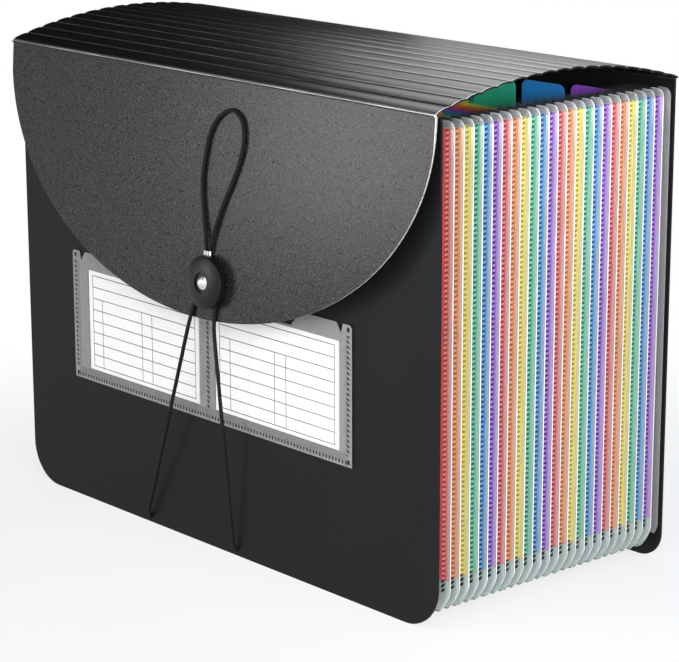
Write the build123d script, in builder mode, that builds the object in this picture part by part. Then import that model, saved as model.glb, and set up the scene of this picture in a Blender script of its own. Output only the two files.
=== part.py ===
"""Accordion file folder, shown expanded and closed.

Two black plastic panels stand on their bottom edges, and 24 coloured dividers hang between them
on folded film. A pleated lid runs from the back panel over the pockets, and its flap hangs in
front, held by an elastic cord that is hooked under a riveted button.

Millimetres. X runs along the panels, -Y is the front, Z is up. The origin lies on the surface
that the folder stands on, at the middle of its footprint.
"""
import os
from math import acos, asin, cos, degrees, hypot, pi, radians, sin, tan

from build123d import *

# Clearances that the pieces share
overrun = 2.0
hinge_gap = 0.3
weld_gap = 0.1
rivet_clearance = 0.05

# Panels
panel_width = 330.0
panel_thickness = 1.2
panel_corner_radius = 22.0
back_corner_radius = 14.0
panel_top_radius = 3.0
crease_height = 249.0
front_panel_drop = 2.6

# Dividers and the room between them
divider_count = 24
divider_thickness = 0.4
divider_pitch = 6.16
front_pocket = 9.2
rear_pocket = 5.4
divider_margin = 4.0
divider_bottom = 23.0
divider_shoulder = 224.5
ear_height = 240.0
ear_width = 8.0
ear_slope_run = 9.0
ear_radius = 3.0
tab_width = 30.0
tab_height = 14.5
tab_radius = 4.0
tab_right_margin = 13.0
tab_left_margin = 2.0
tabs_per_row = 8
tab_row_shift_shares = (0.0, 1.5, 0.75)

# Folded films that close the pockets at both sides and below
film_thickness = 0.2
film_margin = 2.0
film_flange = 8.0
film_fold_depth = 17.0
film_bottom = 6.0
film_top = 243.5
film_top_radius = 4.0
film_chamfer_run = 8.0
film_chamfer_rise = 12.0
bottom_film_inset = 1.0
bottom_film_flange = 20.0
bottom_film_fold = 8.0

# Lid and flap
lid_overhang = 1.5
lid_thickness = 0.8
lid_rise = 12.0
pleat_count = 17
pleat_bulge = 0.8
flap_gap = 4.4
flap_lean = 4.5
flap_thickness = 0.9
flap_side = 8.0
flap_length = 122.7

# Button and its rivet
button_offset = 13.6
button_drop = 102.7
button_radius = 13.4
button_rim = 2.8
button_height = 4.3
button_edge_radius = 0.8
button_recess_radius = 5.2
button_recess_depth = 0.8
neck_radius = 5.0
neck_height = 2.8
rivet_radius = 1.6
rivet_head_radius = 3.8
rivet_head_height = 1.6
rivet_tail_radius = 3.6
rivet_tail_height = 0.7

# Elastic cord, its anchor holes, knots and crimp
cord_diameter = 2.0
cord_lift = 1.15
anchor_left = -57.5
anchor_right = 15.5
anchor_height = 3.2
anchor_reach = 2.4
anchor_hole_radius = 1.3
exit_radius = 2.0
edge_bend_radius = 20.0
neck_clearance = 0.2
crimp_bend_radius = 6.0
cord_bend_share = 0.45
knot_diameter = 3.6
knot_length = 3.0
knot_edge_radius = 0.8
crimp_centre = 11.5
crimp_drop = 88.2
crimp_length = 2.2
crimp_lead = 3.0
crimp_diameter = 2.7
crimp_web = 1.6
crimp_lift = 1.55
crimp_spacing = 2.5

# Label holder and its cards
holder_centre = -8.0
holder_width = 227.0
holder_bottom = 68.4
holder_height = 71.0
holder_film = 0.3
holder_pocket = 0.7
holder_weld_width = 2.4
holder_weld_inset = 3.0
bottom_weld_width = 4.7
bottom_weld_inset = 4.15
holder_middle_shift = 3.0
thumb_cut_top = 35.0
thumb_cut_bottom = 21.0
thumb_cut_depth = 8.0
notch_slope = 3.6
notch_step = 1.4
notch_depth = 5.0
notch_inset = 7.6
holder_top_radius = 2.0
card_width = 95.5
card_height = 55.0
card_thickness = 0.3
card_left_centre = -60.2
card_right_centre = 48.4
card_seat = 0.3

# What follows from the sizes above, across and then front to back
lid_width = panel_width + 2 * lid_overhang
divider_width = panel_width - 2 * divider_margin
film_edge = divider_width / 2 + film_margin
spread = 2 * panel_thickness + front_pocket + rear_pocket
spread += (divider_count - 1) * divider_pitch
lean = radians(flap_lean)
rivet_seat = neck_height + button_height - button_recess_depth
stack_height = rivet_seat + rivet_head_height
closure_reach = flap_gap + button_drop * sin(lean) + stack_height * cos(lean)
back_face = (spread + closure_reach) / 2
front_face = back_face - spread
front_inner = front_face + panel_thickness
back_inner = back_face - panel_thickness
crease_y = front_face - flap_gap

front_panel_height = crease_height - front_panel_drop
back_panel_height = crease_height - lid_thickness - hinge_gap


def divider_y(number):
    """The middle plane of a divider, counted from 1 at the front."""
    return back_inner - rear_pocket - (divider_count - number) * divider_pitch


def sheet_plane(y):
    """An upright plane across the folder, with X to the right and Z up."""
    return Plane.XZ.offset(-y)


def save(piece, name):
    """Label a finished piece and write it to its own file."""
    piece.part.label = name
    export_step(piece.part, f"parts/{name}.step")


os.makedirs("parts", exist_ok=True)

# Front panel, with the two holes that the elastic cord comes out of
with BuildPart() as front_panel:
    with BuildSketch(sheet_plane(front_inner)) as front_outline:
        Rectangle(panel_width, front_panel_height, align=(Align.CENTER, Align.MIN))
        fillet(front_outline.vertices().group_by(Axis.Y)[0], panel_corner_radius)
        fillet(front_outline.vertices().group_by(Axis.Y)[-1], panel_top_radius)
        with Locations((anchor_left, anchor_height), (anchor_right, anchor_height)):
            Circle(anchor_hole_radius, mode=Mode.SUBTRACT)
    extrude(amount=panel_thickness)
save(front_panel, "front_panel")

# Back panel, which ends just under the lid's rear crease
with BuildPart() as back_panel:
    with BuildSketch(sheet_plane(back_face)) as back_outline:
        Rectangle(panel_width, back_panel_height, align=(Align.CENTER, Align.MIN))
        fillet(back_outline.vertices().group_by(Axis.Y)[0], back_corner_radius)
    extrude(amount=panel_thickness)
save(back_panel, "back_panel")

# Dividers: a sheet with two raised ears at its sides and one tab
ear_inner = divider_width / 2 - ear_width
shoulder_end = ear_inner - ear_slope_run
tab_start = shoulder_end - tab_right_margin - tab_width / 2
tab_end = -shoulder_end + tab_left_margin + tab_width / 2
tab_pitch = (tab_start - tab_end) / (tabs_per_row - 1 + max(tab_row_shift_shares))


def tab_centre(number):
    """Tabs step to the left from the rear divider forward, and every other row steps back again."""
    row, place = divmod(divider_count - number, tabs_per_row)
    if row % 2:
        place = tabs_per_row - 1 - place
    steps = place + tab_row_shift_shares[row % len(tab_row_shift_shares)]
    return tab_start - steps * tab_pitch


for number in range(1, divider_count + 1):
    with BuildPart() as divider:
        with BuildSketch(sheet_plane(divider_y(number) + divider_thickness / 2)):
            with BuildLine():
                Polyline(
                    (-divider_width / 2, divider_bottom),
                    (divider_width / 2, divider_bottom),
                    (divider_width / 2, ear_height),
                    (ear_inner, ear_height),
                    (shoulder_end, divider_shoulder),
                    (-shoulder_end, divider_shoulder),
                    (-ear_inner, ear_height),
                    (-divider_width / 2, ear_height),
                    close=True,
                )
            make_face()
            with Locations((tab_centre(number), divider_shoulder + tab_height)):
                RectangleRounded(
                    tab_width,
                    2 * tab_height,
                    tab_radius,
                    align=(Align.CENTER, Align.MAX),
                )
        extrude(amount=divider_thickness)
        upright = divider.edges().filter_by(Axis.Y)
        outer = upright.filter_by_position(Axis.Z, ear_height - weld_gap, ear_height + weld_gap)
        fillet(outer, ear_radius)
    save(divider, f"divider_{number:02d}")

# Pocket gaps: the faces of the sheets that each film is welded to
sheet_fronts = [divider_y(n) - divider_thickness / 2 for n in range(1, divider_count + 1)]
sheet_rears = [divider_y(n) + divider_thickness / 2 for n in range(1, divider_count + 1)]
gap_starts = [front_inner] + sheet_rears
gap_ends = sheet_fronts + [back_inner]


def folded_film(start, end, edge, flange, depth):
    """Outline of a film that lies on both sheets and folds inward between them.

    Each point is (distance out from the pocket, y). The two flanges run from the edge inward,
    and the fold's tip is half way between the sheets.
    """
    low = start + weld_gap
    high = end - weld_gap
    half = (high - low) / 2
    corner = edge - flange
    tip = corner - depth
    slant = hypot(depth, half)
    inner_corner = corner + film_thickness * (slant - depth) / half
    inner_tip = tip + film_thickness * slant / half
    middle = (low + high) / 2
    return [
        (edge, low),
        (corner, low),
        (tip, middle),
        (corner, high),
        (edge, high),
        (edge, high - film_thickness),
        (inner_corner, high - film_thickness),
        (inner_tip, middle),
        (inner_corner, low + film_thickness),
        (edge, low + film_thickness),
    ]


# Side films, 25 a side, with rounded top corners and cut bottom corners
for side_name, side in (("left", -1), ("right", 1)):
    with BuildPart() as side_films:
        with BuildSketch(Plane.XY.offset(film_bottom)):
            for start, end in zip(gap_starts, gap_ends):
                with BuildLine():
                    outline = folded_film(start, end, film_edge, film_flange, film_fold_depth)
                    Polyline(*[(side * x, y) for x, y in outline], close=True)
                make_face()
        extrude(amount=film_top - film_bottom)
        with BuildSketch(sheet_plane(back_face)):
            with BuildLine():
                Polyline(
                    (side * film_edge, film_bottom + film_chamfer_rise),
                    (side * (film_edge - film_chamfer_run), film_bottom),
                    (side * (film_edge - film_chamfer_run), film_bottom - overrun),
                    (side * (film_edge + overrun), film_bottom - overrun),
                    (side * (film_edge + overrun), film_bottom + film_chamfer_rise),
                    close=True,
                )
            make_face()
        extrude(amount=spread, mode=Mode.SUBTRACT)
        with BuildSketch(sheet_plane(back_face)):
            with BuildLine():
                arc_middle = film_top_radius * sin(pi / 4)
                arc_x = film_edge - film_top_radius
                arc_z = film_top - film_top_radius
                ThreePointArc(
                    (side * film_edge, arc_z),
                    (side * (arc_x + arc_middle), arc_z + arc_middle),
                    (side * arc_x, film_top),
                )
                Polyline(
                    (side * arc_x, film_top),
                    (side * arc_x, film_top + overrun),
                    (side * (film_edge + overrun), film_top + overrun),
                    (side * (film_edge + overrun), arc_z),
                    (side * film_edge, arc_z),
                )
            make_face()
        extrude(amount=spread, mode=Mode.SUBTRACT)
    save(side_films, f"gusset_films_{side_name}")

# Bottom films, folded up into the pockets between the side films
bottom_film_end = film_edge - film_flange - film_fold_depth - bottom_film_inset
with BuildPart() as bottom_films:
    with BuildSketch(Plane.YZ.offset(-bottom_film_end)):
        for start, end in zip(gap_starts, gap_ends):
            outline = folded_film(start, end, -film_bottom, bottom_film_flange, bottom_film_fold)
            with BuildLine():
                Polyline(*[(y, -out) for out, y in outline], close=True)
            make_face()
    extrude(amount=2 * bottom_film_end)
save(bottom_films, "bottom_films")

# Lid: pleats along an arch from the flap's crease to the back panel's top edge
chord = back_face - crease_y
arch_radius = (chord**2 / 4 + lid_rise**2) / (2 * lid_rise)
arch_y = (back_face + crease_y) / 2
arch_z = crease_height + lid_rise - arch_radius
arch_half_angle = asin(chord / 2 / arch_radius)


def arch_point(pleat, depth):
    """A point on the arch, counted in pleats from the front, so far below its outer valleys."""
    angle = arch_half_angle * (2 * pleat / pleat_count - 1)
    reach = arch_radius - depth
    return arch_y + reach * sin(angle), arch_z + reach * cos(angle)


def pleat_arcs(first, last, depth):
    """Arcs from valley to valley, each standing proud of the arch by the pleat's bulge."""
    middle_share = 0.5
    for pleat in range(first, last):
        ThreePointArc(
            arch_point(pleat, depth),
            arch_point(pleat + middle_share, depth - pleat_bulge),
            arch_point(pleat + 1, depth),
        )


def pleated_sheet(first, last, front_gap_share):
    """A stretch of the lid, its front end drawn back by a share of a pleat."""
    with BuildPart() as sheet:
        with BuildSketch(Plane.YZ.offset(-lid_width / 2)):
            with BuildLine():
                pleat_arcs(first, last, 0)
                pleat_arcs(first, last, lid_thickness)
                Line(arch_point(first, 0), arch_point(first, lid_thickness))
                Line(arch_point(last, 0), arch_point(last, lid_thickness))
            make_face()
            if front_gap_share:
                front = arch_point(first, lid_thickness / 2)
                with Locations(front):
                    Rectangle(2 * hinge_gap, 2 * (lid_thickness + overrun), mode=Mode.SUBTRACT)
        extrude(amount=lid_width)
    return sheet


lid = pleated_sheet(1, pleat_count, True)
save(lid, "lid")
lid_front_strip = pleated_sheet(0, 1, False)
save(lid_front_strip, "lid_front_strip")

# Flap: a half oval that leans out from the crease, with the rivet's hole
outward = Vector(0, -cos(lean), sin(lean))
flap_plane = Plane(origin=(0, crease_y, crease_height), x_dir=(1, 0, 0), z_dir=outward)
flap_top = lid_thickness + hinge_gap

with BuildPart() as flap:
    with BuildSketch(flap_plane) as flap_outline:
        with Locations((0, -flap_side)):
            Ellipse(lid_width / 2, flap_length - flap_side)
            Rectangle(
                lid_width + overrun,
                flap_length,
                align=(Align.CENTER, Align.MIN),
                mode=Mode.SUBTRACT,
            )
            Rectangle(lid_width, flap_side - flap_top, align=(Align.CENTER, Align.MIN))
        with Locations((button_offset, -button_drop)):
            Circle(rivet_radius + rivet_clearance, mode=Mode.SUBTRACT)
    extrude(amount=-flap_thickness)
save(flap, "flap")

# Closure button: a domed disc on a neck, with a recess for the rivet, turned about its axis
button_seat = flap_plane.from_local_coords((button_offset, -button_drop, 0))
button_axis = Axis(button_seat, outward)
button_section = Plane(
    origin=button_seat,
    x_dir=(1, 0, 0),
    z_dir=Vector(1, 0, 0).cross(outward),
)
button_top = neck_height + button_height
button_bore = rivet_radius + rivet_clearance

with BuildPart() as closure_button:
    with BuildSketch(button_section):
        with BuildLine():
            Polyline(
                (button_recess_radius, button_top),
                (button_recess_radius, rivet_seat),
                (button_bore, rivet_seat),
                (button_bore, 0),
                (neck_radius, 0),
                (neck_radius, neck_height),
                (button_radius, neck_height),
                (button_radius, neck_height + button_rim),
            )
            TangentArc(
                (button_recess_radius, button_top),
                (button_radius, neck_height + button_rim),
                tangent=(1, 0),
            )
        make_face()
    revolve(axis=button_axis)
    rims = closure_button.edges().filter_by(GeomType.CIRCLE).sort_by(SortBy.RADIUS)[-2:]
    fillet(rims, button_edge_radius)
save(closure_button, "closure_button")

# Rivet: a domed head in the button's recess and a flat tail behind the flap
with BuildPart() as button_rivet:
    with BuildSketch(button_section):
        with BuildLine():
            Polyline(
                (0, rivet_seat + rivet_head_height),
                (0, -flap_thickness - rivet_tail_height),
                (rivet_tail_radius, -flap_thickness - rivet_tail_height),
                (rivet_tail_radius, -flap_thickness),
                (rivet_radius, -flap_thickness),
                (rivet_radius, rivet_seat),
                (rivet_head_radius, rivet_seat),
            )
            TangentArc(
                (0, rivet_seat + rivet_head_height),
                (rivet_head_radius, rivet_seat),
                tangent=(1, 0),
            )
        make_face()
    revolve(axis=button_axis)
save(button_rivet, "button_rivet")

# Elastic cord: up from the left hole, past the button's neck, through the crimp, round the
# finger loop and back down to the right hole. The loop is (across, up) from the crimp's middle.
crimp_half = crimp_length / 2 + crimp_lead
loop_route = [
    (-5.4, 19.7),
    (-7.8, 34.5),
    (-6.2, 47.6),
    (-3.3, 59.8),
    (1.8, 67.6),
    (11.3, 73.5),
    (18.8, 71.6),
    (22.8, 66.3),
    (23.3, 57.8),
    (21.7, 50.6),
    (16.5, 38.0),
    (8.8, 24.2),
]
edge_left = (-1.2, 124.5)
edge_right = (18.0, 124.0)
neck_ring = neck_radius + cord_diameter / 2 + neck_clearance


def on_flap(across, down, lift=cord_lift):
    """A point of the cord where it lies on the flap."""
    return flap_plane.from_local_coords((across, -down, lift))


def strand_foot(across):
    """Two points of a strand's lower end: at its knot, and out in front of the panel."""
    return (across, front_inner + weld_gap, anchor_height), (
        across,
        front_face - anchor_reach,
        anchor_height,
    )


def touching(point, turn):
    """Direction from the neck's axis to where a line from the point touches the cord's ring."""
    away = Vector(point[0] - button_offset, point[1] - button_drop)
    opening = degrees(acos(neck_ring / away.length))
    return away.normalized().rotate(Axis.Z, turn * opening)


def neck_corner(above, below, side):
    """Where the lines from two points would meet beside the neck, if they didn't round it."""
    first = touching(above, side)
    second = touching(below, -side)
    corner = (first + second) * (neck_ring / (1 + first.dot(second)))
    return button_offset + corner.X, button_drop + corner.Y


knot_left, foot_left = strand_foot(anchor_left)
knot_right, foot_right = strand_foot(anchor_right)
crimp_left = crimp_centre - crimp_spacing / 2
crimp_right = crimp_centre + crimp_spacing / 2
crimp_low = crimp_drop + crimp_half
crimp_high = crimp_drop - crimp_half
flap_route = [edge_left, neck_corner((crimp_left, crimp_low), edge_left, -1)]
flap_route += [(crimp_left, crimp_low, crimp_lift), (crimp_left, crimp_high, crimp_lift)]
flap_route += [(crimp_centre + across, crimp_drop - up) for across, up in loop_route]
flap_route += [(crimp_right, crimp_high, crimp_lift), (crimp_right, crimp_low, crimp_lift)]
flap_route += [neck_corner((crimp_right, crimp_low), edge_right, 1), edge_right]
cord_route = [knot_left, foot_left]
cord_route += [on_flap(*point) for point in flap_route]
cord_route += [foot_right, knot_right]
cord_route = [Vector(point) for point in cord_route]

# Bends take the size of what the tight cord goes round, and are wide along the loose loop
tight_bends = [exit_radius, edge_bend_radius, neck_ring, crimp_bend_radius, crimp_bend_radius]
cord_radii = []
for before, here, after in zip(cord_route, cord_route[1:], cord_route[2:]):
    turn = radians((here - before).get_angle(after - here))
    shorter = min((here - before).length, (after - here).length)
    cord_radii.append(cord_bend_share * shorter / tan(turn / 2))
cord_radii[: len(tight_bends)] = tight_bends
cord_radii[-len(tight_bends):] = tight_bends[::-1]
print("cord radii", [round(radius, 1) for radius in cord_radii])

with BuildPart() as elastic_cord:
    with BuildLine():
        cord_path = FilletPolyline(*cord_route, radius=cord_radii)
    with BuildSketch(Plane(cord_path @ 0, z_dir=cord_path % 0)):
        Circle(cord_diameter / 2)
    sweep()
save(elastic_cord, "elastic_cord")
cord_length = cord_path.length
cord_section = pi * cord_diameter**2 / 4
print("cord length", round(cord_length, 1))
print("cord volume over section times length", elastic_cord.part.volume / cord_section / cord_length)

# Knots that stop the cord inside the front panel
with BuildPart() as cord_knots:
    with BuildSketch(sheet_plane(front_inner + weld_gap)):
        with Locations((anchor_left, anchor_height), (anchor_right, anchor_height)):
            Circle(knot_diameter / 2)
    extrude(amount=-knot_length)
    fillet(cord_knots.edges().filter_by(GeomType.CIRCLE), knot_edge_radius)
save(cord_knots, "cord_knots")

# Crimp: two metal barrels side by side, one for each run of the cord
crimp_seat = flap_plane.from_local_coords((crimp_centre, -crimp_drop, crimp_lift))
crimp_plane = Plane(origin=crimp_seat, x_dir=(1, 0, 0), z_dir=flap_plane.y_dir)
with BuildPart() as cord_crimp:
    with BuildSketch(crimp_plane):
        Rectangle(crimp_spacing, crimp_web)
        with GridLocations(crimp_spacing, 0, 2, 1):
            Circle(crimp_diameter / 2)
            Circle(cord_diameter / 2 + rivet_clearance, mode=Mode.SUBTRACT)
    extrude(amount=crimp_length / 2, both=True)
save(cord_crimp, "cord_crimp")

# Label holder: a film on four welds, open at the top, with thumb cuts and notches
holder_left = holder_centre - holder_width / 2
holder_right = holder_centre + holder_width / 2
holder_top = holder_bottom + holder_height
holder_middle = holder_centre + holder_middle_shift
weld_edge = holder_weld_inset + holder_weld_width / 2
weld_places = (holder_left + weld_edge, holder_middle, holder_right - weld_edge)
half_centres = ((holder_left + holder_middle) / 2, (holder_middle + holder_right) / 2)

with BuildPart() as label_holder:
    with BuildSketch(sheet_plane(front_face - holder_pocket)) as holder_outline:
        with Locations((holder_centre, holder_bottom)):
            Rectangle(holder_width, holder_height, align=(Align.CENTER, Align.MIN))
        fillet(holder_outline.vertices().group_by(Axis.Y)[-1], holder_top_radius)
        for centre in half_centres:
            with BuildLine():
                Polyline(
                    (centre - thumb_cut_top / 2, holder_top),
                    (centre - thumb_cut_bottom / 2, holder_top - thumb_cut_depth),
                    (centre + thumb_cut_bottom / 2, holder_top - thumb_cut_depth),
                    (centre + thumb_cut_top / 2, holder_top),
                    close=True,
                )
            make_face(mode=Mode.SUBTRACT)
        for edge, inward in ((holder_left, 1), (holder_right, -1)):
            bottom = edge + inward * notch_inset
            with BuildLine():
                Polyline(
                    (bottom - inward * notch_step, holder_top),
                    (bottom, holder_top - notch_depth),
                    (bottom + inward * notch_slope, holder_top),
                    close=True,
                )
            make_face(mode=Mode.SUBTRACT)
    extrude(amount=holder_film)
    with BuildSketch(sheet_plane(front_face)):
        for place in weld_places:
            with Locations((place, holder_bottom)):
                weld_height = holder_height - notch_depth
                Rectangle(holder_weld_width, weld_height, align=(Align.CENTER, Align.MIN))
        with Locations((holder_centre, holder_bottom + bottom_weld_inset)):
            Rectangle(holder_width - 2 * holder_weld_inset, bottom_weld_width)
    extrude(amount=holder_pocket)
save(label_holder, "label_holder")

# Cards, which stand on the holder's bottom weld and pull out upward
card_bottom = holder_bottom + bottom_weld_inset + bottom_weld_width / 2 + card_seat
card_gap = (holder_pocket - card_thickness) / 2
for card_name, centre in (("left", card_left_centre), ("right", card_right_centre)):
    with BuildPart() as label_card:
        with BuildSketch(sheet_plane(front_face - card_gap)):
            with Locations((centre, card_bottom)):
                Rectangle(card_width, card_height, align=(Align.CENTER, Align.MIN))
        extrude(amount=card_thickness)
    save(label_card, f"label_card_{card_name}")

print("spread", round(spread, 2), "back face", round(back_face, 3), "front face", round(front_face, 3))
print("crease", round(crease_y, 3), "arch half angle", round(degrees(arch_half_angle), 2))
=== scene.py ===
import bpy
import numpy as np
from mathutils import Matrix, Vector


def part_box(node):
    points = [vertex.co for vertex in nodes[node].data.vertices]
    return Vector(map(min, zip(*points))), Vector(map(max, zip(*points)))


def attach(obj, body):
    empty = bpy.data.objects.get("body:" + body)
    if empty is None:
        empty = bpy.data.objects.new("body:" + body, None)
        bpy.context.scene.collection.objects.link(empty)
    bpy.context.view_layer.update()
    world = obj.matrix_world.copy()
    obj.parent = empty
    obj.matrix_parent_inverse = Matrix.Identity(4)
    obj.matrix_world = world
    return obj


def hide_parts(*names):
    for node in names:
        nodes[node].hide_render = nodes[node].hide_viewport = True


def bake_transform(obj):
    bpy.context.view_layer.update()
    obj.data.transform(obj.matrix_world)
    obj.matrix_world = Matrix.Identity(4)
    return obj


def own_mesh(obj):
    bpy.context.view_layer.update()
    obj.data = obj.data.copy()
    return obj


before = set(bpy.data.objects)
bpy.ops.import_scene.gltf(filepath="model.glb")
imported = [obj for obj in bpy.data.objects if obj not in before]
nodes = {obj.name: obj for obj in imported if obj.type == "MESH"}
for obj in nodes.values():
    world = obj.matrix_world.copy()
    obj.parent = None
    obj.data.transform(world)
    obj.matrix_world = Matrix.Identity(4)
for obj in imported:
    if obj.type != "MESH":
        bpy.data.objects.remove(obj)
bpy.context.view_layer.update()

# Front and back panels: stiff black polypropylene sheet, die-cut with rounded lower corners and
# welded to the pocket films. The faces keep a fine upright grain from the rollers that drew them.
streak_share = 0.75
noise_range = (0.3, 0.7)


def shade(red, green, blue):
    """Screen values from 0 to 255 as the linear light that a shader takes."""
    screen = np.array([red, green, blue]) / 255
    light = np.where(screen > 0.04045, ((screen + 0.055) / 1.055) ** 2.4, screen / 12.92)
    return (*light.tolist(), 1.0)


def new_finish(name, specular):
    """A material with one Principled shader. Gives the material, its node tree and the shader."""
    material = bpy.data.materials.new(name)
    material.use_nodes = True
    shader = material.node_tree.nodes["Principled BSDF"]
    shader.inputs["Specular IOR Level"].default_value = specular
    return material, material.node_tree, shader


def feed(tree, socket, value):
    """Link another node's output to a socket, or set a plain number or colour on it."""
    if isinstance(value, bpy.types.NodeSocket):
        tree.links.new(value, socket)
    else:
        socket.default_value = value


def reckon(tree, operation, *values):
    """One Math node, worked on sockets or plain numbers."""
    node = tree.nodes.new("ShaderNodeMath")
    node.operation = operation
    for socket, value in zip(node.inputs, values):
        feed(tree, socket, value)
    return node.outputs[0]


def grain(tree, per_metre, stretch=(1, 1, 1), detail=2.0):
    """Noise from 0 to 1 with so many grains per metre, drawn out where the stretch is below 1."""
    coordinates = tree.nodes.new("ShaderNodeTexCoord")
    drawn = tree.nodes.new("ShaderNodeMapping")
    drawn.inputs["Scale"].default_value = stretch
    noise = tree.nodes.new("ShaderNodeTexNoise")
    noise.inputs["Scale"].default_value = per_metre
    noise.inputs["Detail"].default_value = detail
    tree.links.new(coordinates.outputs["Object"], drawn.inputs["Vector"])
    tree.links.new(drawn.outputs["Vector"], noise.inputs["Vector"])
    return noise.outputs["Fac"]


def span(tree, value, start, end, low=0.0, high=1.0):
    """A value's straight run from start to end, held between the low and the high result."""
    node = tree.nodes.new("ShaderNodeMapRange")
    for socket, number in zip(node.inputs, (value, start, end, low, high)):
        feed(tree, socket, number)
    return node.outputs[0]


def tone(tree, share, first, second):
    """The colour that goes from the first to the second as the share goes from 0 to 1."""
    node = tree.nodes.new("ShaderNodeMix")
    node.data_type = "RGBA"
    feed(tree, node.inputs[0], share)
    feed(tree, node.inputs[6], first)
    feed(tree, node.inputs[7], second)
    return node.outputs[2]


def emboss(tree, shader, height, relief):
    """Bump on a shader from a height of 0 to 1, which stands for so many millimetres."""
    node = tree.nodes.new("ShaderNodeBump")
    node.inputs["Distance"].default_value = relief / 1000
    tree.links.new(height, node.inputs["Height"])
    tree.links.new(node.outputs["Normal"], shader.inputs["Normal"])


def coat(tree, shader, colour, texture, roughness, relief, height=None):
    """A shader's colour, its roughness between two values by a texture, and its bump.

    The bump follows the texture too, unless it is given a height of its own.
    """
    feed(tree, shader.inputs["Base Color"], colour)
    feed(tree, shader.inputs["Roughness"], span(tree, texture, *noise_range, *roughness))
    emboss(tree, shader, texture if height is None else height, relief)


def dress(piece, *materials):
    """Give a piece its finishes, in the order of its material slots."""
    piece.data.materials.clear()
    for material in materials:
        piece.data.materials.append(material)


panel_finish, tree, shader = new_finish("panel_black", specular=0.12)
upright = grain(tree, per_metre=1500.0, stretch=(1, 1, 0.04), detail=3.0)
cloud = grain(tree, per_metre=14.0)
streaks = reckon(tree, "MULTIPLY_ADD", cloud, 1 - streak_share,
                 reckon(tree, "MULTIPLY", upright, streak_share))
black = tone(tree, streaks, shade(9, 9, 11), shade(28, 28, 30))
coat(tree, shader, black, upright, roughness=(0.46, 0.58), relief=0.04)
for name in ("back_panel", "front_panel"):
    dress(nodes[name], panel_finish)

# Dividers: thin coloured polypropylene sheets, six colours four times over, each with one tab. The
# stitch-like weld to the side films shows as a column of dark dashes along both upright edges, with
# a painted highlight between the dashes.
divider_count = 24
dash_column, dash_half_width, dash_pitch, dash_share, dash_slant = 158.4, 0.95, 2.46, 0.5, 0.4
dash_strength, weld_highlight_strength, dash_sink = 0.92, 0.9, 0.6
pale_start, pale_end = 159.5, 160.2
sheet_tones = {
    "red": ((244, 92, 88), (176, 36, 46)),
    "orange": ((250, 152, 76), (200, 88, 34)),
    "yellow": ((254, 246, 88), (186, 168, 40)),
    "teal": ((60, 206, 166), (10, 112, 94)),
    "blue": ((54, 154, 238), (8, 62, 150)),
    "purple": ((162, 88, 230), (76, 12, 132)),
}


def places(tree):
    """A point's place across, in depth and in height, in millimetres of the folder's own frame."""
    coordinates = tree.nodes.new("ShaderNodeTexCoord")
    split = tree.nodes.new("ShaderNodeSeparateXYZ")
    tree.links.new(coordinates.outputs["Object"], split.inputs[0])
    return [reckon(tree, "MULTIPLY", split.outputs[axis], 1000.0) for axis in "XYZ"]


def near(tree, value, middle, half):
    """1 where a value lies within half a width of the middle, and 0 elsewhere."""
    off = reckon(tree, "ABSOLUTE", reckon(tree, "SUBTRACT", value, middle))
    return reckon(tree, "LESS_THAN", off, half)


def both(tree, *masks):
    """The product of the masks, which is 1 only where all of them are."""
    found = masks[0]
    for mask in masks[1:]:
        found = reckon(tree, "MULTIPLY", found, mask)
    return found


def stitches(tree, along, pitch, share):
    """1 over the first share of each pitch along a value, and 0 over the rest of it."""
    return reckon(tree, "LESS_THAN", reckon(tree, "FRACT", reckon(tree, "DIVIDE", along, pitch)), share)


def weld_dashes(tree, out, height, half_width, slant, share):
    """The weld's column, and the dashes on it by the height, which slants with the way out."""
    column = near(tree, out, dash_column, half_width)
    from_column = reckon(tree, "SUBTRACT", out, dash_column)
    slanted = reckon(tree, "MULTIPLY_ADD", from_column, -slant, height)
    return column, both(tree, column, stitches(tree, slanted, dash_pitch, share))


def greyed(colour, grey, share):
    """A colour that has gone a share of the way to a grey, both in screen values."""
    return shade(*((1 - share) * np.array(colour) + share * grey))


def dashed_sheet(name, colour, dark):
    """A sheet's finish: weld dashes by the height along one column, a painted highlight between them, and a
    paler edge past it.
    """
    material, tree, shader = new_finish(name, specular=0.3)
    across, _, height = places(tree)
    out = reckon(tree, "ABSOLUTE", across)
    column, dash = weld_dashes(tree, out, height, dash_half_width, dash_slant, dash_share)
    # A painted highlight on the weld between the dashes
    weld_highlight = both(tree, reckon(tree, "SUBTRACT", column, dash), weld_highlight_strength)
    cloudy = tone(tree, grain(tree, per_metre=60.0), shade(*colour), greyed(colour, 0, 0.1))
    highlighted = tone(tree, weld_highlight, cloudy, greyed(colour, 255, 0.5))
    dashed = tone(tree, both(tree, dash, dash_strength), highlighted, shade(*dark))
    edged = tone(tree, span(tree, out, pale_start, pale_end), dashed, greyed(colour, 235, 0.4))
    sanded = grain(tree, per_metre=1800.0)
    sunk_dashes = reckon(tree, "MULTIPLY_ADD", dash, -dash_sink, sanded)
    coat(tree, shader, edged, sanded, roughness=(0.34, 0.5), relief=0.05, height=sunk_dashes)
    return material


sheet_finishes = [dashed_sheet(f"sheet_{name}", *tones) for name, tones in sheet_tones.items()]
sheet_names = [f"divider_{number:02d}" for number in range(1, divider_count + 1)]
for place, name in enumerate(sheet_names):
    dress(nodes[name], sheet_finishes[place % len(sheet_finishes)])

# Pocket films: frosted clear film, one folded strip down each side of a pocket and one below it.
# Each is welded flat to the two sheets beside it and folds inward between them.


def corners(node):
    """A solid's lowest and highest corner, to a thousandth of a millimetre."""
    return np.round(np.array(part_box(node)) * 1000, 3)


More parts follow.
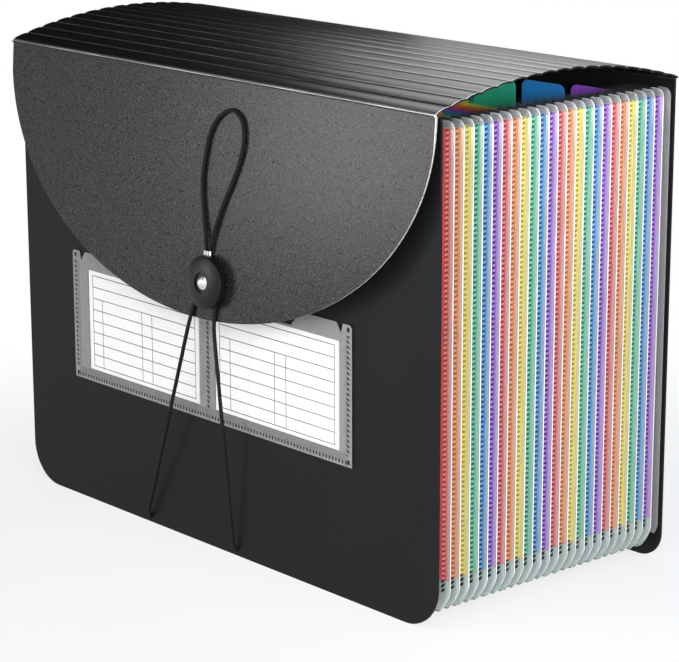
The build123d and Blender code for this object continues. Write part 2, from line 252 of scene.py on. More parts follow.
sheet_boxes = np.array([corners(name) for name in sheet_names])
sheet_edge, sheet_bottom, ear_top = sheet_boxes[0, 1, 0], sheet_boxes[0, 0, 2], sheet_boxes[0, 1, 2]
front_inner, back_inner = corners("front_panel")[1, 1], corners("back_panel")[0, 1]
film_low, film_high = corners("gusset_films_right")
film_edge, film_bottom, film_top = film_high[0], film_low[2], film_high[2]
film_thickness, weld_gap = 0.2, 0.1
film_flange, film_fold, fold_tip_share = 8.0, 17.0, 0.12
film_top_radius, film_chamfer_run, film_chamfer_rise, chamfer_power = 4.0, 8.0, 12.0, 1.2
pinch, pinch_run = 0.3, 1.2
sway_size, sway_turn, sway_start = 0.9, 2.4, 0.5
bottom_film_end, bottom_flange, bottom_fold = corners("bottom_films")[1, 0], 20.0, 8.0
closed_gap, closed_end_gap = 1.0, 1.2
rim_width, shadow_width, shadow_fade, shadow_share = 0.16, 0.5, 6.0, 0.5
rim_foot, rim_foot_highlight, rim_head, rim_head_highlight = (8.0, 24.0), 0.5, (238.0, 240.5), 0.3
foot_dash_bottom, foot_dash_half_width, foot_dash_slant, foot_dash_share = 17.0, 1.3, 0.8, 0.6
ear_overlap, fold_overlap = 0.2, 0.1
colour_bleed_share = 0.22
top_haze, side_haze, welded_haze, panel_haze, fold_haze, rim_haze = 0.36, 0.9, 0.04, 0.7, 0.015, 0.9


def grid_mesh(name, grids, colours=None):
    """One mesh from grids of points in millimetres: each square of neighbours is a face."""
    points, faces, first = [], [], 0
    for grid in grids:
        rows, columns = grid.shape[:2]
        corner = first + np.arange(rows * columns).reshape(rows, columns)
        square = (corner[:-1, :-1], corner[:-1, 1:], corner[1:, 1:], corner[1:, :-1])
        faces.append(np.stack(square, axis=-1).reshape(-1, 4))
        points.append(grid.reshape(-1, 3) / 1000)
        first += rows * columns
    mesh = bpy.data.meshes.new(name)
    mesh.from_pydata(np.concatenate(points).tolist(), [], np.concatenate(faces).tolist())
    mesh.polygons.foreach_set("use_smooth", np.ones(len(mesh.polygons), bool))
    if colours is not None:
        tint = mesh.attributes.new("tint", "FLOAT_COLOR", "POINT")
        tint.data.foreach_set("color", np.concatenate(colours).astype(np.float32).ravel())
    piece = bpy.data.objects.new(name, mesh)
    bpy.context.scene.collection.objects.link(piece)
    return piece


def point_grid(across, depth, height):
    """A grid of points from its three places, each given for rows, for columns or for both."""
    return np.stack(np.broadcast_arrays(across, depth, height), axis=-1)


def thicken(piece, millimetres, rim=0):
    """Give a surface its sheet's thickness, half to each side. The rim may take its own finish."""
    wall = piece.modifiers.new("sheet", "SOLIDIFY")
    wall.thickness = millimetres / 1000
    wall.offset = 0
    wall.material_offset_rim = rim


def film_profile(start, end, edge, flange, fold, stations, pinches=(0, 0)):
    """A film's line from sheet to sheet, as distance out, depth and share of the way across.

    It lies on the front sheet from the edge inward, goes round a hyperbola whose tip is the fold,
    and comes back out along the rear sheet. Past a sheet's edge it is pinched to the next film.
    """
    low, high = start + weld_gap + film_thickness / 2, end - weld_gap - film_thickness / 2
    across = np.linspace(-1, 1, 19)[1:-1]
    tip = fold_tip_share
    rise = (np.hypot(across, tip) - tip) / (np.hypot(1, tip) - tip)
    flat = edge - np.asarray(stations) * flange
    out = np.concatenate([flat, edge - flange - fold + fold * rise, flat[::-1]])
    past = np.clip((flat - sheet_edge) / pinch_run, 0, 1)
    pinched = past * past * (3 - 2 * past)
    depth = np.concatenate([low - pinches[0] * pinched, (low + high) / 2 + (high - low) / 2 * across,
                            high + pinches[1] * pinched[::-1]])
    return out, depth, np.clip((depth - low) / (high - low), 0, 1)


def side_film(out, depth, side, sway):
    """A side film: its line carried upward, between a slanting foot and a rounded top corner.

    The foot is a quarter of a rounded diamond. Below the sheets the film is free and sways a
    little, by the square of the distance.
    """
    run = np.clip((out - film_edge) / film_chamfer_run + 1, 0, 1) ** chamfer_power
    foot = film_bottom + film_chamfer_rise * (1 - (1 - run) ** (1 / chamfer_power))
    past = np.clip(out - (film_edge - film_top_radius), 0, None)
    head = film_top - film_top_radius + np.sqrt(film_top_radius**2 - past**2)
    share = np.concatenate([np.linspace(0, 0.08, 8), np.linspace(0.1, 1, 13)])[:, None]
    height = foot + share * (head - foot)
    free = np.clip((sheet_bottom - height) / (sheet_bottom - film_bottom), 0, 1) ** 2
    return point_grid(side * out, depth + sway * free, height)


def bottom_film(out, depth):
    """A bottom film: the same kind of line, with the fold upward, carried across the pocket."""
    across = np.linspace(-bottom_film_end, bottom_film_end, 9)[:, None]
    return point_grid(across, depth, -out)


def between(tree, share, first, second):
    """The number that goes from the first to the second as the share goes from 0 to 1."""
    return span(tree, share, 0.0, 1.0, first, second)


def either(tree, *masks):
    """The greatest of the masks, which is 1 where any of them is."""
    found = masks[0]
    for mask in masks[1:]:
        found = reckon(tree, "MAXIMUM", found, mask)
    return found


film_finish, tree, shader = new_finish("frosted_film", specular=0.3)
across, _, height = places(tree)
out = reckon(tree, "ABSOLUTE", across)
tint_node = tree.nodes.new("ShaderNodeAttribute")
tint_node.attribute_name = "tint"
bled_colour, on_divider = tint_node.outputs["Color"], tint_node.outputs["Alpha"]

# Where the film lies beside a coloured sheet, and where it is welded over one
above = reckon(tree, "GREATER_THAN", height, sheet_bottom)
below_ear = reckon(tree, "LESS_THAN", height, ear_top - ear_overlap)
beside_sheet = both(tree, above, below_ear, on_divider)
over_sheet = both(tree, reckon(tree, "LESS_THAN", out, sheet_edge), beside_sheet)
clear_fold = both(tree, above, reckon(tree, "LESS_THAN", out, film_edge - film_flange - fold_overlap))

# The pale rim along the side, round the top corner and down the foot: a painted highlight where the cut
# edge catches the light, with a painted shadow beside it
corner_x = reckon(tree, "MAXIMUM", reckon(tree, "SUBTRACT", out, film_edge - film_top_radius), 0.0)
corner_z = reckon(tree, "MAXIMUM", reckon(tree, "SUBTRACT", height, film_top - film_top_radius), 0.0)
from_corner = reckon(tree, "MULTIPLY_ADD", corner_x, corner_x, both(tree, corner_z, corner_z))
from_corner = reckon(tree, "SQRT", from_corner)
run = span(tree, out, film_edge - film_chamfer_run, film_edge)
fall = span(tree, height, film_bottom + film_chamfer_rise, film_bottom)
from_foot = reckon(tree, "ADD", reckon(tree, "POWER", run, chamfer_power),
                   reckon(tree, "POWER", fall, chamfer_power))
rim_line, shadow_line = (
    (1 - width / film_chamfer_run) ** chamfer_power for width in (rim_width, rim_width + shadow_width))
rim = either(tree, reckon(tree, "GREATER_THAN", from_corner, film_top_radius - rim_width),
             reckon(tree, "GREATER_THAN", from_foot, rim_line))
beside_rim = both(tree, reckon(tree, "GREATER_THAN", from_foot, shadow_line),
                  span(tree, height, sheet_bottom - shadow_fade, sheet_bottom, shadow_share, 0.0))
# How strong the rim's painted highlight is: dimmer near the foot and near the head
rim_highlight = both(tree, span(tree, height, *rim_foot, rim_foot_highlight, 1.0),
                 span(tree, height, *rim_head, 1.0, rim_head_highlight), on_divider)

# The weld's last dashes, which show black below the sheets
_, dashes = weld_dashes(tree, out, height, foot_dash_half_width, foot_dash_slant, foot_dash_share)
black_dash = both(tree, dashes, reckon(tree, "GREATER_THAN", height, foot_dash_bottom),
                  reckon(tree, "LESS_THAN", height, sheet_bottom), on_divider)

# The colour and the haze that these make
frost = grain(tree, per_metre=700.0)
skirt = tone(tree, frost, shade(152, 168, 167), shade(182, 194, 192))
plain = tone(tree, above, skirt, shade(160, 158, 156))
plain = tone(tree, below_ear, shade(174, 178, 182), plain)
plain = tone(tree, on_divider, shade(150, 150, 152), plain)
# Beside a coloured sheet the film takes a share of that sheet's colour: painted colour bleed, light
# coloured by the sheet, which the clear film itself lacks
coloured = tone(tree, both(tree, beside_sheet, colour_bleed_share), plain, bled_colour)
# The painted shadow beside the rim, then the rim's painted highlight
shaded = tone(tree, beside_rim, coloured, shade(96, 108, 108))
edged = tone(tree, both(tree, rim, rim_highlight), shaded, shade(240, 241, 241))
marked = tone(tree, black_dash, edged, shade(16, 18, 20))
coat(tree, shader, marked, frost, roughness=(0.38, 0.55), relief=0.03)
haze = between(tree, over_sheet, between(tree, below_ear, top_haze, side_haze), welded_haze)
haze = between(tree, on_divider, panel_haze, haze)
haze = either(tree, haze, both(tree, rim, rim_haze), black_dash)
feed(tree, shader.inputs["Alpha"], between(tree, clear_fold, haze, fold_haze))

# The colour each film takes from the sheets beside it as painted colour bleed; the panels give none
panel_tint = (*shade(70, 70, 72)[:3], 0.0)
colour_tints = [shade(*colour) for colour, _ in sheet_tones.values()]
sheet_tints = [colour_tints[place % len(colour_tints)] for place in range(divider_count)]
sheet_tints = np.array([panel_tint, *sheet_tints, panel_tint])
pocket_starts = np.append(front_inner, sheet_boxes[:, 1, 1])
pocket_ends = np.append(sheet_boxes[:, 0, 1], back_inner)
closed_gaps = np.full(divider_count + 1, closed_gap)
closed_gaps[[0, -1]] = closed_end_gap
side_stations = np.array([0, 0.15, 0.4, 0.8, 1.2, 1.6, 2, 2.5, 3.2, 4, 5, 6, 7, 8]) / film_flange
bottom_stations = np.linspace(0, 1, 5)
for pocket, (start, end) in enumerate(zip(pocket_starts, pocket_ends)):
    pinches = (pinch if pocket else 0, pinch if pocket < divider_count else 0)
    side_out, side_depth, side_share = film_profile(
        start, end, film_edge, film_flange, film_fold, side_stations, pinches)
    low_out, low_depth, low_share = film_profile(
        start, end, -film_bottom, bottom_flange, bottom_fold, bottom_stations)
    sway = sway_size * np.sin(sway_turn * pocket + sway_start)
    grids = [side_film(side_out, side_depth, side, sway) for side in (-1, 1)]
    grids.append(bottom_film(low_out, low_depth))
    tints = []
    for grid, share in zip(grids, (side_share, side_share, low_share)):
        mixed = sheet_tints[pocket] * (1 - share[:, None]) + sheet_tints[pocket + 1] * share[:, None]
        tints.append(np.tile(mixed, (grid.shape[0], 1)))
    film = grid_mesh(f"pocket_film_{pocket + 1:02d}", grids, tints)
    dress(film, film_finish)
    thicken(film, film_thickness)
    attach(film, sheet_names[pocket] if pocket < divider_count else "back_panel")
    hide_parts("gusset_films_left", "gusset_films_right", "bottom_films")
    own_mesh(film)

# Label holder: a clear film pocket welded to the front panel along its sides, middle and bottom,
# with thumb cuts above. It looks grey over the black panel and clear over the white cards.
holder_low, holder_high = corners("label_holder")
card_boxes = {name: corners(name) for name in ("label_card_left", "label_card_right")}
holder_middle, weld_inset, mark_half = -5.0, 2.4, 0.9
column_pitch, column_share, column_lean, column_reach = 2.6, 0.42, 0.5, 30.0
bar_pitch, bar_share, bar_drop = 2.4, 0.4, 0.4
square_half = 1.1
bare_haze, card_haze, mark_haze = 0.44, 0.03, 0.85


def within(tree, value, low, high):
    """1 where a value lies between the low and the high one, and 0 elsewhere."""
    return near(tree, value, (low + high) / 2, (high - low) / 2)


holder_finish, tree, shader = new_finish("holder_film", specular=0.25)
across, _, height = places(tree)
over_card = either(tree, *(
    both(tree, within(tree, height, low[2], high[2]), within(tree, across, low[0], high[0]))
    for low, high in card_boxes.values()))
left_weld, right_weld = holder_low[0] + weld_inset, holder_high[0] - weld_inset
low_weld, high_weld = holder_low[2] + weld_inset, holder_high[2] - weld_inset
columns = either(tree, *(near(tree, across, x, mark_half) for x in (left_weld, holder_middle, right_weld)))
column_rows = near(tree, height, (holder_low[2] + holder_high[2]) / 2, column_reach)
leaning = reckon(tree, "MULTIPLY_ADD", across, column_lean, height)
dashes = both(tree, columns, column_rows, stitches(tree, leaning, column_pitch, column_share))
bars = both(tree, stitches(tree, across, bar_pitch, bar_share),
            near(tree, height, low_weld - bar_drop, mark_half))
corner_columns = either(tree, *(near(tree, across, x, mark_half) for x in (left_weld, right_weld)))
corner_rows = either(tree, *(near(tree, height, z, square_half) for z in (low_weld, high_weld)))
marks = either(tree, dashes, bars, both(tree, corner_columns, corner_rows))
frost = grain(tree, per_metre=420.0)
grey = tone(tree, frost, shade(160, 162, 164), shade(186, 188, 190))
coat(tree, shader, tone(tree, marks, grey, shade(24, 24, 26)), frost, roughness=(0.32, 0.5), relief=0.04)
haze = between(tree, over_card, bare_haze, card_haze)
feed(tree, shader.inputs["Alpha"], either(tree, haze, both(tree, marks, mark_haze)))
dress(nodes["label_holder"], holder_finish)

# Label cards: two loose white cards with a ruled form, one in each half of the holder. They are
# printed with thin grey lines: two full rows, then six rows in four columns.
frame_side, frame_head, frame_foot = 3.5, 2.7, 2.2
ruled_rows, open_rows, column_shares, line_half = 8, 2, (0.095, 0.489, 0.588), 0.22


def ruled_card(name, low, high):
    """A card's finish: lines at equal steps of the height, and columns below the second row."""
    material, tree, shader = new_finish(name, specular=0.1)
    across, _, height = places(tree)
    frame_width = high[0] - low[0] - 2 * frame_side
    frame_height = high[2] - low[2] - frame_head - frame_foot
    row_step = frame_height / ruled_rows
    right = reckon(tree, "SUBTRACT", across, low[0] + frame_side)
    down = reckon(tree, "SUBTRACT", high[2] - frame_head, height)
    nearest = both(tree, reckon(tree, "ROUND", reckon(tree, "DIVIDE", down, row_step)), row_step)
    rows = near(tree, down, nearest, line_half)
    from_middle = reckon(tree, "ABSOLUTE", reckon(tree, "SUBTRACT", right, frame_width / 2))
    sides = reckon(tree, "GREATER_THAN", from_middle, frame_width / 2 - line_half)
    columns = either(tree, *(near(tree, right, share * frame_width, line_half) for share in column_shares))
    columns = both(tree, columns, reckon(tree, "GREATER_THAN", down, open_rows * row_step))
    inside = both(tree, within(tree, right, -line_half, frame_width + line_half),
                  within(tree, down, -line_half, frame_height + line_half))
    lines = both(tree, either(tree, rows, sides, columns), inside)
    fibre = grain(tree, per_metre=500.0)
    paper = tone(tree, fibre, shade(240, 240, 239), shade(250, 250, 250))
    printed = tone(tree, lines, paper, shade(64, 64, 66))
    coat(tree, shader, printed, fibre, roughness=(0.52, 0.68), relief=0.02)
    return material


for name, (low, high) in card_boxes.items():
    dress(nodes[name], ruled_card(name, low, high))

# Lid: one sheet of black polypropylene with a sand-blasted face, creased into seventeen pleats so
# that it opens with the pockets. It is welded to the back panel. Its creases turn pale, partly by
# stress-whitening and partly as a painted highlight.
crease_y, crease_z, back_face = corners("lid_front_strip")[0, 1], 249.0, corners("back_panel")[1, 1]
lid_half_width, lid_thickness, lid_rise = corners("lid")[1, 0], 0.8, 12.0
pleat_count, pleat_bulge, pleat_steps = 17, 0.7, 16
edge_row = 0.4
lip_end, ridge_end, valley_start, valley_end = 0.06, 0.2, 0.5, 0.9
face_gloss, ridge_gloss, valley_share = 0.2, 0.9, 0.04
valley_shade_start, valley_shade_share, dull_start, dull_gain = 0.55, 0.95, 0.6, 0.5
speckle_range, sparkle_range, sparkle_gains = (0.4, 0.6), (0.36, 0.64), (0.5, 1.5)
least_lip_share, sheen_half, sand_relief = 0.4, 0.05, 0.014
end_line, end_line_depths, end_highlight_shares = 0.5, (-70.0, 20.0), (0.8, 0.1)
lid_chord = back_face - crease_y
arch_radius = (lid_chord**2 / 4 + lid_rise**2) / (2 * lid_rise)
arch_y, arch_z = (back_face + crease_y) / 2, crease_z + lid_rise - arch_radius
arch_half_angle = np.arcsin(lid_chord / 2 / arch_radius)


def mark_pleats(piece, parts):
    """Write each point's place between two creases, from 0 to 1, for the piece's finish to read."""
    place = piece.data.attributes.new("pleat", "FLOAT", "POINT")
    place.data.foreach_set("value", np.asarray(parts, np.float32).ravel())


def pleated_sheet(name, first, last, front_cut=0.0, rear_cut=0.0):
    """The lid from one pleat to another: an arch whose radius grows by a flat-topped cubic in each.

    The line is carried across the lid, and each point keeps its place between two creases.
    """
    pleat = np.linspace(first, last, pleat_steps * (last - first) + 1)
    pleat[0] += front_cut
    pleat[-1] -= rear_cut
    part = pleat % 1
    angle = arch_half_angle * (2 * pleat / pleat_count - 1)
    reach = arch_radius - lid_thickness / 2 + pleat_bulge * (1 - np.abs(2 * part - 1) ** 3)
    across = np.linspace(-lid_half_width, lid_half_width, 9)
    across = np.insert(across, [1, -1], [across[0] + edge_row, across[-1] - edge_row])[:, None]
    depth, height = arch_y + reach * np.sin(angle), arch_z + reach * np.cos(angle)
    piece = grid_mesh(name, [point_grid(across, depth, height)])
    part[0], part[-1] = 0, 1
    mark_pleats(piece, np.tile(part, across.size))
    return piece


def sanded_sheet(name, low, high, lip_share, roughness):
    """A sand-blasted sheet, speckled between two greys.

    The pleat's part gives a pale, glossy lip at one crease, partly stress-whitening and partly a painted
    highlight, and a dull valley at the next, darkened by painted shade.
    """
    material, tree, shader = new_finish(name, specular=face_gloss)
    across, depth, _ = places(tree)
    sand = grain(tree, per_metre=2100.0, detail=1.0)
    pleat_node = tree.nodes.new("ShaderNodeAttribute")
    pleat_node.attribute_name = "pleat"
    pleat_part = pleat_node.outputs["Fac"]
    whitening_and_highlight = grain(tree, per_metre=300.0, stretch=(0.15, 1, 1))
    whitening_and_highlight = span(tree, whitening_and_highlight, *noise_range, least_lip_share * lip_share, lip_share)
    # The pale lip at each crease: stress-whitening, plus a painted highlight where the lip's face catches
    # the light
    lip = both(tree, span(tree, pleat_part, 0.0, lip_end, 1.0, 0.0), whitening_and_highlight)
    # A painted highlight along the lid's cut ends, brightest toward the front
    at_end = reckon(tree, "GREATER_THAN", reckon(tree, "ABSOLUTE", across), lid_half_width - end_line)
    end_highlight = both(tree, at_end, span(tree, depth, *end_line_depths, *end_highlight_shares))
    sanded = tone(tree, span(tree, sand, *speckle_range), shade(low, low, low), shade(high, high, high + 1))
    # Painted shade: each pleat darkens toward its valley
    valley_shade = tone(tree, span(tree, pleat_part, valley_shade_start, 1.0, 0.0, valley_shade_share), sanded, shade(8, 8, 9))
    pale = tone(tree, either(tree, lip, end_highlight), valley_shade, shade(225, 225, 225))
    feed(tree, shader.inputs["Base Color"], pale)
    ridge = both(tree, span(tree, pleat_part, 0.0, ridge_end, ridge_gloss, face_gloss),
                 span(tree, pleat_part, valley_start, valley_end, 1.0, valley_share))
    sparkle = span(tree, sand, *sparkle_range, *sparkle_gains)
    feed(tree, shader.inputs["Specular IOR Level"], both(tree, ridge, sparkle))
    sheen = span(tree, sand, *noise_range, roughness - sheen_half, roughness + sheen_half)
    dulled = span(tree, pleat_part, dull_start, valley_end, 0.0, dull_gain)
    feed(tree, shader.inputs["Roughness"], reckon(tree, "ADD", sheen, dulled))
    emboss(tree, shader, sand, sand_relief)
    return material


# The lid's finish is a darker copy of the flap's, though both are one sheet: painted shade
shaded_lid_finish = sanded_sheet("lid_black", low=1, high=22, lip_share=0.2, roughness=0.42)
flap_finish = sanded_sheet("flap_black", low=1, high=52, lip_share=0.9, roughness=0.28)

lid = pleated_sheet("lid_sheet", 1, pleat_count, front_cut=0.031, rear_cut=0.04)
lid_strip = pleated_sheet("lid_front_pleat", 0, 1)
for piece, body in ((lid, "lid"), (lid_strip, "lid_front_strip")):
    dress(piece, shaded_lid_finish, panel_finish)
    thicken(piece, lid_thickness, rim=1)
    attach(piece, body)
    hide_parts(body)
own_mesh(lid)

# Rear crease: the living hinge between the back panel and the lid, where the sheet is pressed thin.
# It stands upright while the lid is shut.
rear_half_width, rear_low, rear_high = corners("back_panel")[1, 0], 247.6, 248.5
rear_y, rear_thickness, rear_bend = back_face - 0.2, 0.3, (247.8, 248.4)
rear_across = np.linspace(-rear_half_width, rear_half_width, 9)[:, None]
rear_height = np.linspace(rear_low, rear_high, 7)[None, :]
rear_crease = grid_mesh("rear_crease", [point_grid(rear_across, rear_y, rear_height)])
dress(rear_crease, panel_finish)
thicken(rear_crease, rear_thickness)
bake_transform(rear_crease)

# Flap: the same sand-blasted sheet, cut to a half oval and creased to hang in front of the panel.
# It leans out a little, because the button stands on it and the cord draws it in below.
flap_lean, flap_thickness = np.radians(4.5), 0.9
flap_side, flap_length, flap_top, flap_edge_share = 8.0, 122.7, 1.1, 0.004


def on_flap(across, down, lift):
    """A point so far across and down from the crease, lifted off the flap's outer face."""
    y = crease_y - down * np.sin(flap_lean) - lift * np.cos(flap_lean)
    z = crease_z - down * np.cos(flap_lean) + lift * np.sin(flap_lean)
    return point_grid(across, y, z)


turn = np.linspace(-np.pi / 2, np.pi / 2, 97)[:, None]
flap_across = lid_half_width * np.sin(turn)
flap_foot = flap_side + (flap_length - flap_side) * np.cos(turn)
flap_share = [0, flap_edge_share, *np.linspace(0.04, 0.96, 11), 1 - flap_edge_share, 1]
flap_down = flap_top + np.array(flap_share)[None, :] * (flap_foot - flap_top)
flap = grid_mesh("flap_sheet", [on_flap(flap_across, flap_down, -flap_thickness / 2)])
mark_pleats(flap, np.full(len(flap.data.vertices), 0.5))
# The flap's cut edge is painted pale grey: a painted highlight where the edge catches the light
edge_finish, tree, shader = new_finish("cut_edge", specular=0.15)
edge_grain = grain(tree, per_metre=900.0)
edge_highlight_tone = tone(tree, span(tree, edge_grain, *noise_range), shade(120, 120, 122), shade(190, 190, 190))
coat(tree, shader, edge_highlight_tone, edge_grain, roughness=(0.45, 0.6), relief=0.05)
dress(flap, flap_finish, edge_finish)
thicken(flap, flap_thickness, rim=1)
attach(flap, "flap")
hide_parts("flap")

# Flap crease: the living hinge between the lid and the flap, where the sheet is pressed thin and
# bent over. The bend has whitened it, and a painted highlight makes it almost white.
bend_radius, hinge_thickness, whitened_and_highlit_half = 1.1, 0.5, 0.2
bend_y, bend_z = crease_y + 0.4, crease_z - 0.35
crease_turn = np.linspace(0, 1, 9)[None, :]
bend = crease_turn * (np.pi / 2 - flap_lean)
crease_across = np.linspace(-lid_half_width, lid_half_width, 9)[:, None]
flap_crease = grid_mesh("flap_crease", [point_grid(
    crease_across, bend_y - bend_radius * np.sin(bend), bend_z - bend_radius * (1 - np.cos(bend)))])
# The middle of the bend is pale: stress-whitening and a painted highlight
whitened_and_highlit_part = np.where(np.abs(crease_turn - 0.5) < whitened_and_highlit_half, 0.0, 0.5)
mark_pleats(flap_crease, np.tile(whitened_and_highlit_part, (crease_across.size, 1)))
dress(flap_crease, flap_finish)
thicken(flap_crease, hinge_thickness)
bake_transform(flap_crease)

# Button: a moulded black disc on a short neck, which the cord hooks under. A bright steel rivet
# with a domed head holds it through the flap.
button_finish, tree, shader = new_finish("button_black", specular=0.18)
mould = grain(tree, per_metre=1600.0, detail=3.0)
coat(tree, shader, tone(tree, mould, shade(7, 7, 9), shade(22, 22, 24)), mould,
     roughness=(0.3, 0.42), relief=0.04)
dress(nodes["closure_button"], button_finish)


def bright_metal(name, colour, dark):
    """Pressed metal: fine scratches in the colour, and a sheen that varies with them."""
    material, tree, shader = new_finish(name, specular=0.5)
    shader.inputs["Metallic"].default_value = 1.0
    scratch = grain(tree, per_metre=1400.0, stretch=(1, 1, 0.2), detail=3.0)
    scratched = tone(tree, span(tree, scratch, 0.3, 0.75), shade(*dark), shade(*colour))
    coat(tree, shader, scratched, scratch, roughness=(0.18, 0.34), relief=0.03)
    return material


dress(nodes["button_rivet"], bright_metal("rivet_metal", (232, 232, 234), (190, 190, 194)))

# Elastic cord: braided black elastic, knotted behind two holes in the front panel. It runs up past
# the button's neck, through a metal crimp and round a finger loop, pulled tight below.
cord_diameter, cord_length, cord_lift, foot_out = 2.0, 506.0, 1.15, 2.4
knot_y, anchor_z, anchor_y = front_inner + weld_gap, 3.2, corners("front_panel")[0, 1] - foot_out
strand_left, strand_right = -57.5, 15.5
crimp_x, crimp_drop, crimp_lift, crimp_half_spacing, crimp_reach = 11.5, 88.2, 1.55, 1.25, 4.1
loop = [(-5.4, 19.7), (-7.8, 34.5), (-6.2, 47.6), (-3.3, 59.8), (1.8, 67.6), (11.3, 73.5), (18.8, 71.6),
        (22.8, 66.3), (23.3, 57.8), (21.7, 50.6), (16.5, 38.0), (8.8, 24.2)]
left_bore, right_bore = crimp_x - crimp_half_spacing, crimp_x + crimp_half_spacing
below_crimp, above_crimp = crimp_drop + crimp_reach, crimp_drop - crimp_reach
flap_route = [(-1.2, 124.5, cord_lift), (4.9, 107.7, cord_lift), (7.4, 100.6, cord_lift)]
flap_route += [(left_bore, below_crimp, crimp_lift), (left_bore, above_crimp, crimp_lift)]
flap_route += [(crimp_x + x, crimp_drop - up, cord_lift) for x, up in loop]
flap_route += [(right_bore, above_crimp, crimp_lift), (right_bore, below_crimp, crimp_lift)]
flap_route += [(20.5, 100.2, cord_lift), (19.4, 107.2, cord_lift), (18.0, 124.0, cord_lift)]


def toward(start, end, distance):
    """The point so far from the start along the straight run to the end."""
    start, end = np.asarray(start), np.asarray(end)
    return start + (end - start) * distance / np.linalg.norm(end - start)


on_face = [on_flap(*point) for point in flap_route]
foot_left, foot_right = np.array([(x, anchor_y, anchor_z) for x in (strand_left, strand_right)])
near_edge = 6 * cord_diameter
route = [(strand_left, knot_y, anchor_z), foot_left, toward(foot_left, on_face[0], near_edge)]
route += [toward(on_face[0], foot_left, near_edge), *on_face, toward(on_face[-1], foot_right, near_edge)]
route += [toward(foot_right, on_face[-1], near_edge), foot_right, (strand_right, knot_y, anchor_z)]
route = np.array(route) / 1000
cord_curve = bpy.data.curves.new("elastic_cord_line", "CURVE")
cord_curve.dimensions = "3D"
spline = cord_curve.splines.new("NURBS")
spline.points.add(len(route) - 1)
spline.points.foreach_set("co", np.hstack([route, np.ones((len(route), 1))]).ravel())
spline.order_u = 3
spline.use_endpoint_u = True
spline.resolution_u = 10
cord_curve.bevel_depth = cord_diameter / 2000
cord_curve.bevel_resolution = 4
cord_curve.use_fill_caps = True
cord = bpy.data.objects.new("elastic_cord_braid", cord_curve)
bpy.context.scene.collection.objects.link(cord)

plait_turns, plait_strands, plait_relief = 360.0, 4.0, 0.12
cord_finish, tree, shader = new_finish("elastic_black", specular=0.15)
coordinates = tree.nodes.new("ShaderNodeTexCoord")
along = tree.nodes.new("ShaderNodeSeparateXYZ")
tree.links.new(coordinates.outputs["UV"], along.inputs[0])
lengthwise = reckon(tree, "MULTIPLY", along.outputs["X"], plait_turns)
crosswise = reckon(tree, "MULTIPLY", along.outputs["Y"], plait_strands)
waves = [reckon(tree, "SINE", reckon(tree, "MULTIPLY", reckon(tree, way, lengthwise, crosswise), 2 * np.pi))
         for way in ("ADD", "SUBTRACT")]
plait = span(tree, both(tree, *waves), -1.0, 1.0)
feed(tree, shader.inputs["Base Color"], tone(tree, plait, shade(6, 6, 7), shade(26, 26, 28)))
feed(tree, shader.inputs["Roughness"], between(tree, plait, 0.7, 0.5))
emboss(tree, shader, plait, plait_relief)
dress(cord, cord_finish)
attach(cord, "front_panel")
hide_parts("elastic_cord")
dress(nodes["cord_crimp"], bright_metal("crimp_metal", (214, 214, 216), (150, 150, 154)))

# Cord knots: the cord's two ends, each tied in an overhand knot inside the front panel. The knots
# are too thick for the holes that the cord comes out of, so they hold it.
knot_size, knot_strand, knot_depth, knot_off = 0.42, 0.5, 2.1, 1.5


def overhand_knot(centre):
    """A tube round a trefoil, a closed line that winds twice about the hole and thrice about a ring.

    The tube's circle stands square to the line, on the line's own turning frame.
    """
    wind = np.linspace(0, 2 * np.pi, 73)
    ring = 2 + np.cos(3 * wind)
    depth = knot_depth * np.sin(3 * wind)
    line = knot_size * point_grid(ring * np.cos(2 * wind), depth, ring * np.sin(2 * wind))
    ahead = np.gradient(line, axis=0)
    ahead[[0, -1]] = line[1] - line[-2]
    ahead /= np.linalg.norm(ahead, axis=1, keepdims=True)
    side = np.cross(ahead, (0, 1, 0))
    side /= np.linalg.norm(side, axis=1, keepdims=True)
    other = np.cross(ahead, side)
    round_turn = np.linspace(0, 2 * np.pi, 11)[None, :, None]
    ringed = np.cos(round_turn) * side[:, None] + np.sin(round_turn) * other[:, None]
    return np.asarray(centre) + line[:, None] + knot_strand * ringed


knots = grid_mesh("cord_knot_pair", [
    overhand_knot((x, knot_y + knot_off, anchor_z)) for x in (strand_left, strand_right)])
knot_finish, tree, shader = new_finish("knot_black", specular=0.2)
fibre = grain(tree, per_metre=2200.0)
coat(tree, shader, tone(tree, fibre, shade(14, 14, 16), shade(40, 40, 42)), fibre,
     roughness=(0.65, 0.8), relief=0.1)
dress(knots, knot_finish)
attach(knots, "front_panel")
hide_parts("cord_knots")

# Stage: a white floor that keeps the folder's shadow, under a soft white sky that is brightest to
# the front right. Seven soft lamps grade the black sheets and light the coloured edges.
floor_half, glow_start, glow_end, near_glow = 30.0, 180.0, 420.0, 0.75
floor_ends = (-floor_half, floor_half)
floor_mesh = bpy.data.meshes.new("floor")
floor_mesh.from_pydata([(x, y, 0) for y in floor_ends for x in floor_ends], [], [(0, 1, 3, 2)])
floor = bpy.data.objects.new("floor", floor_mesh)
bpy.context.scene.collection.objects.link(floor)
floor_finish, tree, shader = new_finish("floor_white", specular=0.0)
shader.inputs["Base Color"].default_value = (0.9, 0.9, 0.9, 1.0)
shader.inputs["Roughness"].default_value = 0.9
across, depth, _ = places(tree)
from_middle = reckon(tree, "SQRT", reckon(tree, "MULTIPLY_ADD", across, across, both(tree, depth, depth)))
path = tree.nodes.new("ShaderNodeLightPath")
seen = either(tree, *(path.outputs[f"Is {kind} Ray"] for kind in ("Camera", "Glossy", "Transmission")))
glow = both(tree, seen, span(tree, from_middle, glow_start, glow_end, near_glow, 1.0))
white = tree.nodes.new("ShaderNodeEmission")
blended = tree.nodes.new("ShaderNodeMixShader")
for socket, source in zip(blended.inputs, (glow, shader.outputs[0], white.outputs[0])):
    tree.links.new(source, socket)
tree.links.new(blended.outputs[0], tree.nodes["Material Output"].inputs["Surface"])
dress(floor, floor_finish)

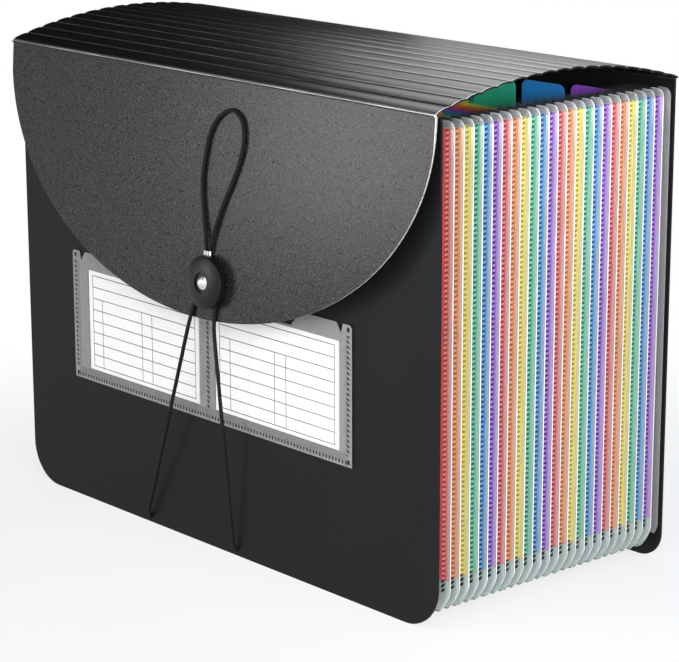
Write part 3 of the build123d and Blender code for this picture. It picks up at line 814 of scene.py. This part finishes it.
sky_side, sky_span, sky_lights = (0.7, -0.7, -0.1), (-0.6, 0.8), (0.03, 1.95)
zenith_span, zenith_lights = (0.2, 0.8), (1.0, 0.2)
world = bpy.data.worlds.new("studio")
bpy.context.scene.world = world
world.use_nodes = True
tree = world.node_tree
sky = tree.nodes["Background"]
sky.inputs["Color"].default_value = (1, 1, 1, 1)
heading = tree.nodes.new("ShaderNodeTexCoord")
sideways = tree.nodes.new("ShaderNodeVectorMath")
sideways.operation = "DOT_PRODUCT"
sideways.inputs[1].default_value = sky_side
tree.links.new(heading.outputs["Generated"], sideways.inputs[0])
upward = tree.nodes.new("ShaderNodeSeparateXYZ")
tree.links.new(heading.outputs["Generated"], upward.inputs[0])
feed(tree, sky.inputs["Strength"], both(
    tree, span(tree, sideways.outputs["Value"], *sky_span, *sky_lights),
    span(tree, upward.outputs["Z"], *zenith_span, *zenith_lights)))


def lamp(name, place, aim, width, tall, power, spread=180.0):
    """An oblong soft lamp at a place, turned to its aim, with its beam's full angle in degrees."""
    light = bpy.data.lights.new(name, "AREA")
    light.shape = "RECTANGLE"
    light.size, light.size_y = width, tall
    light.energy = power
    light.spread = np.radians(spread)
    holder = bpy.data.objects.new(name, light)
    holder.location = place
    holder.rotation_euler = (Vector(aim) - Vector(place)).to_track_quat("-Z", "Y").to_euler()
    holder.visible_camera = False
    bpy.context.scene.collection.objects.link(holder)


lamp("side_lamp", (0.42, -0.15, 0.14), (0.15, 0.03, 0.10), width=0.25, tall=0.28, power=0.65, spread=120.0)
lamp("arch_lamp", (0.46, -0.12, 0.30), (0.06, 0.06, 0.243), width=0.1, tall=0.06, power=0.075, spread=40.0)
lamp("near_lamp", (0.14, -0.24, 0.365), (0.10, -0.07, 0.20), width=0.25, tall=0.25, power=0.4)
lamp("left_lamp", (-0.45, -0.62, 0.20), (0.06, -0.08, 0.17), width=0.15, tall=0.2, power=1.1)
lamp("back_lamp", (0.02, 0.16, 0.36), (0.14, -0.03, 0.255), width=0.18, tall=0.18, power=0.15)
lamp("high_lamp", (0.0, 0.08, 0.43), (0.14, -0.06, 0.25), width=0.18, tall=0.18, power=0.5)
lamp("rear_lamp", (-0.70, 0.55, 0.13), (-0.10, 0.05, 0.12), width=0.4, tall=0.2, power=2.0)

# Camera: in front and to the right, a little above the lid, with a long lens. Its tilt, roll and
# heading are in degrees.
camera_place, camera_turn = (0.96613, -0.83676, 0.43378), (75.55997, 0.11621, 48.56008)
camera_data = bpy.data.cameras.new("camera")
camera_data.sensor_fit = "HORIZONTAL"
camera_data.sensor_width = 36.0
camera_data.lens = 132.59
camera_data.clip_end = 50.0
camera = bpy.data.objects.new("camera", camera_data)
camera.location = camera_place
camera.rotation_euler = np.radians(camera_turn)
bpy.context.scene.collection.objects.link(camera)
bpy.context.scene.camera = camera

bpy.context.scene.view_settings.view_transform = "Standard"
